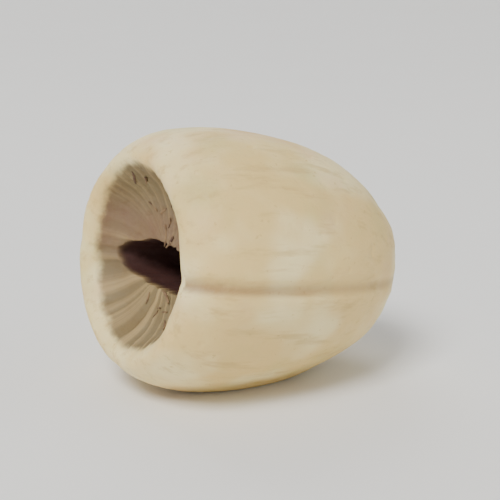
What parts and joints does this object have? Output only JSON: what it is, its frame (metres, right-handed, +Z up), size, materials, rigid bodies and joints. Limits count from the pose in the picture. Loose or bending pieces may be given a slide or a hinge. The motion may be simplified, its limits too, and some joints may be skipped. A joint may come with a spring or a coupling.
{
  "type": "dried lotus seed",
  "caption": "Peeled and cored dried lotus seed: a rounded kernel with a shallow crater at its open end, a slit between its two halves and a needle hole at the far end.",
  "frame": {"origin": "middle of the seed's box at the surface that it rests on", "axes": "+X along the seed from its open end to its far end, +Z up; the seed lies on its side"},
  "size_m": [0.015, 0.0136, 0.0126],
  "materials": {
    "flesh": "satin"
  },
  "bodies": {
    "root": {"kernel": "flesh"}
  },
  "joints": []
}
